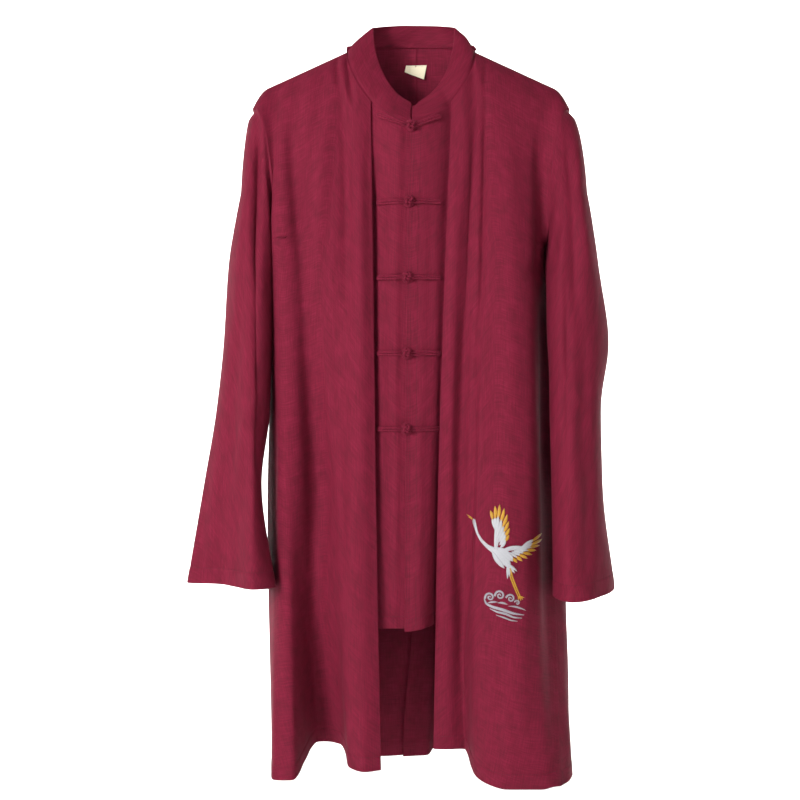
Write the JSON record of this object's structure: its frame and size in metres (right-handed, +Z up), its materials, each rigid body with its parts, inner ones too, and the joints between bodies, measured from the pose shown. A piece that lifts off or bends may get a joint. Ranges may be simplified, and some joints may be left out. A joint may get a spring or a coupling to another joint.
{
  "type": "tang suit robe",
  "caption": "Long hollow tang suit robe with a standing collar, open long fronts over a shorter front closed by frogs, and straight wide-cuffed sleeves, as it hangs.",
  "frame": {"origin": "midway between the two points where shoulder seam and collar meet, where the robe is held when it hangs", "axes": "+Z up along the length of the robe, -Y out of its front, +X towards the wearer's left"},
  "size_m": [0.593, 0.1895, 1.0569],
  "materials": {
    "robe_cloth": "matt plain weave",
    "frog_cord": "matt, self-cloth bias cord",
    "label_tape": "satin-woven tape, blank"
  },
  "bodies": {
    "root": {"front_right": "robe_cloth", "front_left": "robe_cloth", "back_right": "robe_cloth", "back_left": "robe_cloth", "sleeve_right": "robe_cloth", "sleeve_left": "robe_cloth", "inner_front_right": "robe_cloth", "inner_front_left": "robe_cloth", "collar": "robe_cloth", "frog_loop_1": "frog_cord", "frog_knot_1": "frog_cord", "frog_loop_2": "frog_cord", "frog_knot_2": "frog_cord", "frog_loop_3": "frog_cord", "frog_knot_3": "frog_cord", "frog_loop_4": "frog_cord", "frog_knot_4": "frog_cord", "frog_loop_5": "frog_cord", "frog_knot_5": "frog_cord", "neck_label": "label_tape"}
  },
  "joints": []
}
